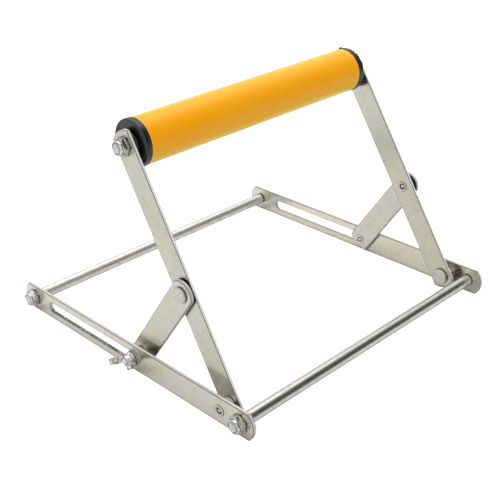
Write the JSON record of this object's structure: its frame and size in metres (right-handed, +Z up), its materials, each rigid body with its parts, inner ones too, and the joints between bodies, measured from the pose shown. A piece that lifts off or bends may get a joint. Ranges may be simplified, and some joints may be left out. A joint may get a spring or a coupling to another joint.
{
  "type": "roller support stand",
  "caption": "Folding roller stand: a slotted flat-bar base, hinged lift arms carrying a free-running roller, and link struts locked in the slots by wing nuts.",
  "frame": {"origin": "on the floor, at the centre of the base's footprint", "axes": "+X from the rear cross rod to the front cross rod, +Y from the left side bar to the right one, +Z up"},
  "size_m": [0.2768, 0.3058, 0.195],
  "materials": {
    "plated_strip": "satin warm-grey plated steel strip with faint iridescence",
    "zinc_plate": "bright zinc plate",
    "nylon": "natural nylon",
    "bearing_steel": "ground bearing steel",
    "orange_sleeve": "glossy orange-yellow sleeve",
    "black_cap": "black semi-gloss moulded plastic"
  },
  "bodies": {
    "base": {"left_side_bar": "plated_strip", "right_side_bar": "plated_strip", "front_cross_rod": "zinc_plate", "rear_cross_rod": "zinc_plate", "cross_rod_nuts": "zinc_plate", "cross_rod_nut_inserts": "nylon", "left_arm_pivot_rivet": "zinc_plate", "right_arm_pivot_rivet": "zinc_plate", "left_pivot_spacer": "zinc_plate", "right_pivot_spacer": "zinc_plate"},
    "lift_arms": {"left_arm": "plated_strip", "right_arm": "plated_strip", "left_link_rivet": "zinc_plate", "right_link_rivet": "zinc_plate", "roller_axle": "zinc_plate", "axle_nuts": "zinc_plate", "axle_nut_inserts": "nylon", "axle_spacers": "zinc_plate", "axle_circlips": "zinc_plate", "left_bearing_inner_ring": "bearing_steel", "right_bearing_inner_ring": "bearing_steel"},
    "roller": {"roller_tube": "zinc_plate", "roller_sleeve": "orange_sleeve", "left_end_cap": "black_cap", "right_end_cap": "black_cap", "left_bearing_outer_ring": "bearing_steel", "right_bearing_outer_ring": "bearing_steel", "left_bearing_balls": "bearing_steel", "right_bearing_balls": "bearing_steel", "left_bearing_cage": "bearing_steel", "right_bearing_cage": "bearing_steel", "left_bearing_shields": "bearing_steel", "right_bearing_shields": "bearing_steel"},
    "left_link": {"left_link": "plated_strip", "left_clamp_stud": "zinc_plate", "left_stud_spacer": "zinc_plate"},
    "left_clamp_washer": {"left_clamp_washer": "zinc_plate"},
    "left_wing_nut": {"left_wing_nut": "zinc_plate"},
    "right_link": {"right_link": "plated_strip", "right_clamp_stud": "zinc_plate", "right_stud_spacer": "zinc_plate"},
    "right_clamp_washer": {"right_clamp_washer": "zinc_plate"},
    "right_wing_nut": {"right_wing_nut": "zinc_plate"}
  },
  "joints": [
    {"name": "arm_fold", "type": "hinge", "parent": "base", "child": "lift_arms", "pos_m": [0.1045, 0, 0.011], "axis": [0, -1, 0], "range_deg": [0, 55.4]},
    {"name": "roller_spin", "type": "hinge", "parent": "lift_arms", "child": "roller", "pos_m": [0.00061, 0, 0.17661], "axis": [0, 1, 0], "continuous": true},
    {"name": "left_link_pivot", "type": "hinge", "parent": "lift_arms", "child": "left_link", "pos_m": [0.05954, -0.128, 0.08267], "axis": [0, -1, 0], "range_deg": [-107.18, 0]},
    {"name": "left_clamp_release", "type": "slide", "parent": "left_link", "child": "left_clamp_washer", "axis": [0, -1, 0], "range_m": [0, 0.0015]},
    {"name": "left_wing_nut_turn", "type": "hinge", "parent": "left_clamp_washer", "child": "left_wing_nut", "pos_m": [0.00915, -0.143, 0.0115], "axis": [0, -1, 0], "range_deg": [0, 540]},
    {"name": "right_link_pivot", "type": "hinge", "parent": "lift_arms", "child": "right_link", "pos_m": [0.05954, 0.128, 0.08267], "axis": [0, -1, 0], "range_deg": [-107.18, 0]},
    {"name": "right_clamp_release", "type": "slide", "parent": "right_link", "child": "right_clamp_washer", "axis": [0, 1, 0], "range_m": [0, 0.0015]},
    {"name": "right_wing_nut_turn", "type": "hinge", "parent": "right_clamp_washer", "child": "right_wing_nut", "pos_m": [0.00915, 0.143, 0.0115], "axis": [0, 1, 0], "range_deg": [0, 540]}
  ],
  "couplings": [
    {"joint": "left_link_pivot", "follows": "arm_fold", "ratio": -1.9347},
    {"joint": "left_wing_nut_turn", "follows": "left_clamp_release", "rad_per_m": 6283.2},
    {"joint": "right_link_pivot", "follows": "arm_fold", "ratio": -1.9347},
    {"joint": "right_wing_nut_turn", "follows": "right_clamp_release", "rad_per_m": 6283.2}
  ]
}
